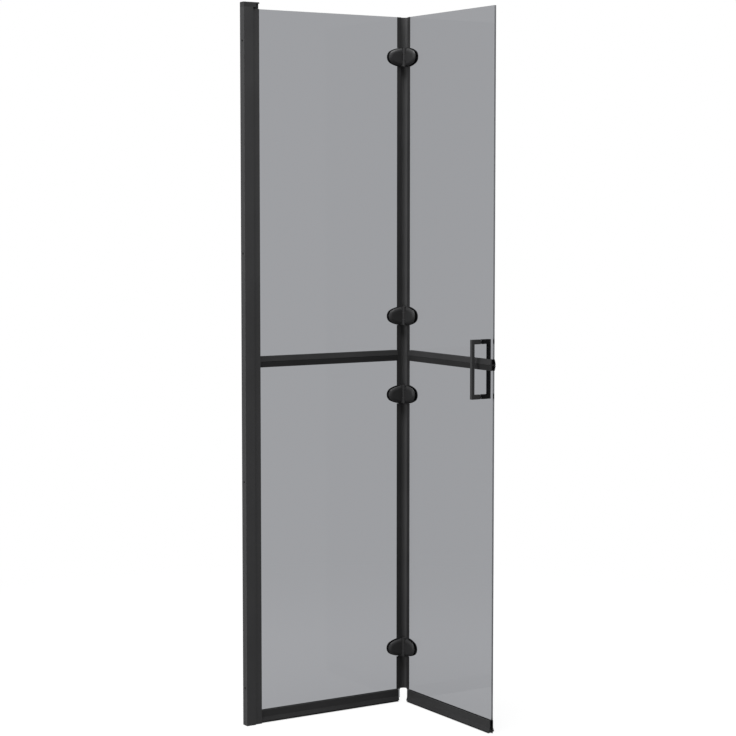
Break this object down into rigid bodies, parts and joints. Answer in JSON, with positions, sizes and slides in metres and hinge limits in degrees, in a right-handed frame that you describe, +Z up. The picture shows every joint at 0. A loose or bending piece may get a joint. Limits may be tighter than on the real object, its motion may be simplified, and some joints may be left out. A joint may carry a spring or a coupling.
{
  "type": "folding walk-in shower wall",
  "caption": "Walk-in shower wall of tinted glass: a fixed leaf in an adjustable wall channel and a leaf that folds on domed glass hinges, with black bars, seals and a square pull handle.",
  "frame": {"origin": "on the wall face of the wall channel, at the shower tray, in the middle of the fixed glass's thickness", "axes": "+X away from the wall along the fixed leaf, +Z up, -Y towards the side the folding leaf points to"},
  "size_m": [0.535, 0.4326, 1.9],
  "materials": {
    "black_metal": "matt black powder coat",
    "grey_glass": "clear polished, grey tint",
    "black_rubber": "matt soft PVC",
    "black_plastic": "fine grained",
    "stainless_steel": "plain stainless",
    "black_nylon": "moulded nylon"
  },
  "bodies": {
    "wall_frame": {"wall_channel": "black_metal", "wall_channel_cap": "black_plastic", "adjusting_screws": "stainless_steel", "clamp_nuts": "stainless_steel", "screw_covers": "black_plastic"},
    "fixed_panel": {"adjusting_profile": "black_metal", "glazing_gaskets": "black_rubber", "fixed_upper_glass": "grey_glass", "fixed_lower_glass": "grey_glass", "fixed_cross_bar": "black_metal", "fixed_cross_bar_gaskets": "black_rubber", "fixed_bottom_rail": "black_metal", "fixed_bottom_gasket": "black_rubber", "fixed_drip_seal": "black_rubber", "fixed_rail_end_cap": "black_plastic", "fixed_seal_clips": "black_rubber", "fold_seal_web": "black_rubber", "top_hinge_fixed_plate": "black_metal", "top_hinge_fixed_backplate": "black_metal", "top_hinge_pin": "black_metal", "upper_hinge_fixed_plate": "black_metal", "upper_hinge_fixed_backplate": "black_metal", "upper_hinge_pin": "black_metal", "lower_hinge_fixed_plate": "black_metal", "lower_hinge_fixed_backplate": "black_metal", "lower_hinge_pin": "black_metal", "bottom_hinge_fixed_plate": "black_metal", "bottom_hinge_fixed_backplate": "black_metal", "bottom_hinge_pin": "black_metal", "fixed_hinge_pads": "black_rubber", "fixed_hinge_sleeves": "black_nylon", "fixed_hinge_bolts": "stainless_steel"},
    "folding_panel": {"folding_upper_glass": "grey_glass", "folding_lower_glass": "grey_glass", "folding_cross_bar": "black_metal", "folding_cross_bar_gaskets": "black_rubber", "folding_cross_bar_end_cap": "black_plastic", "folding_bottom_rail": "black_metal", "folding_bottom_gasket": "black_rubber", "folding_drip_seal": "black_rubber", "folding_rail_end_caps": "black_plastic", "folding_seal_clips": "black_rubber", "top_hinge_folding_plate": "black_metal", "top_hinge_folding_backplate": "black_metal", "upper_hinge_folding_plate": "black_metal", "upper_hinge_folding_backplate": "black_metal", "lower_hinge_folding_plate": "black_metal", "lower_hinge_folding_backplate": "black_metal", "bottom_hinge_folding_plate": "black_metal", "bottom_hinge_folding_backplate": "black_metal", "folding_hinge_pads": "black_rubber", "folding_hinge_sleeves": "black_nylon", "folding_hinge_bolts": "stainless_steel", "hinge_bushes": "black_nylon", "handle_front": "black_metal", "handle_rear": "black_metal", "handle_studs": "stainless_steel", "handle_sleeves": "black_nylon", "handle_washers": "black_rubber"}
  },
  "joints": [
    {"name": "adjust", "type": "slide", "parent": "wall_frame", "child": "fixed_panel", "axis": [1, 0, 0], "range_m": [-0.004, 0.008]},
    {"name": "fold", "type": "hinge", "parent": "fixed_panel", "child": "folding_panel", "pos_m": [0.496, -0.008, 0], "axis": [0, 0, 1], "range_deg": [-80, 90], "deforming": ["fold_seal_web"]}
  ]
}
